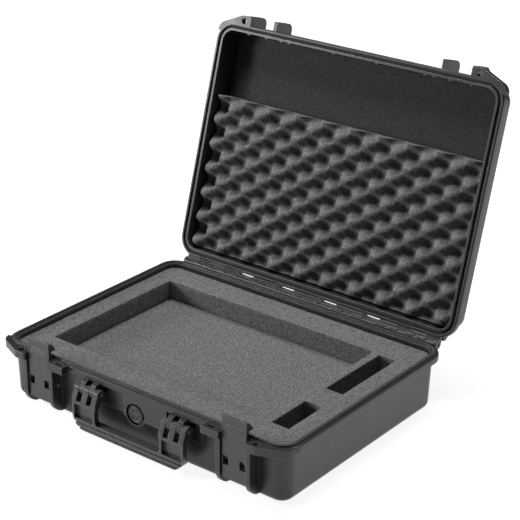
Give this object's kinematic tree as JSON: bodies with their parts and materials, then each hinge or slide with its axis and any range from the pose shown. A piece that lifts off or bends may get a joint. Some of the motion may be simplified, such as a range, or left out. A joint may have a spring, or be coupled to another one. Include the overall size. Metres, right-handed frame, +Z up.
{
  "type": "laptop hard case",
  "caption": "Moulded hard carrying case with hinged lid, snap latches, drop handle, pressure valve, cut base foam and an egg-crate foam document pocket.",
  "frame": {"origin": "middle of the base's flat underside", "axes": "+X along the hinge to the right as seen from the handle side, -Y towards the handle, +Z up; the lid is open at rest"},
  "size_m": [0.503, 0.5406, 0.4548],
  "materials": {
    "shell": "moulded, fine satin texture",
    "latch_plastic": "moulded, satin",
    "fittings": "moulded, satin",
    "pin_steel": "drawn",
    "seal_rubber": "matt",
    "membrane": "matt",
    "cut_foam": "open-cell cut foam",
    "lining_foam": "dense foam",
    "crate_foam": "open-cell convoluted foam"
  },
  "bodies": {
    "base": {"base_shell": "shell", "base_foam_floor": "cut_foam", "base_foam_insert": "cut_foam", "hinge_pin_left": "pin_steel", "hinge_pin_right": "pin_steel", "latch_pin_left": "pin_steel", "latch_pin_right": "pin_steel", "handle_pin_left": "pin_steel", "handle_pin_right": "pin_steel", "valve_body": "fittings", "valve_seal": "seal_rubber", "valve_membrane": "membrane", "valve_cap": "fittings", "valve_nut": "fittings"},
    "lid": {"lid_shell": "shell", "lid_gasket": "seal_rubber", "lid_foam_lining": "lining_foam", "pocket_panel": "lining_foam", "eggcrate_foam": "crate_foam"},
    "latch_left": {"latch_left": "latch_plastic"},
    "latch_right": {"latch_right": "latch_plastic"},
    "handle": {"handle": "latch_plastic"}
  },
  "joints": [
    {"name": "lid_hinge", "type": "hinge", "parent": "base", "child": "lid", "pos_m": [0, 0.1918, 0.0826], "axis": [1, 0, 0], "range_deg": [0, 106.2]},
    {"name": "latch_left_pivot", "type": "hinge", "parent": "base", "child": "latch_left", "pos_m": [-0.172, -0.1795, 0.045], "axis": [1, 0, 0], "range_deg": [0, 22]},
    {"name": "latch_right_pivot", "type": "hinge", "parent": "base", "child": "latch_right", "pos_m": [0.172, -0.1795, 0.045], "axis": [1, 0, 0], "range_deg": [0, 22]},
    {"name": "handle_pivot", "type": "hinge", "parent": "base", "child": "handle", "pos_m": [0, -0.188, 0.0625], "axis": [-1, 0, 0], "range_deg": [0, 110]}
  ]
}
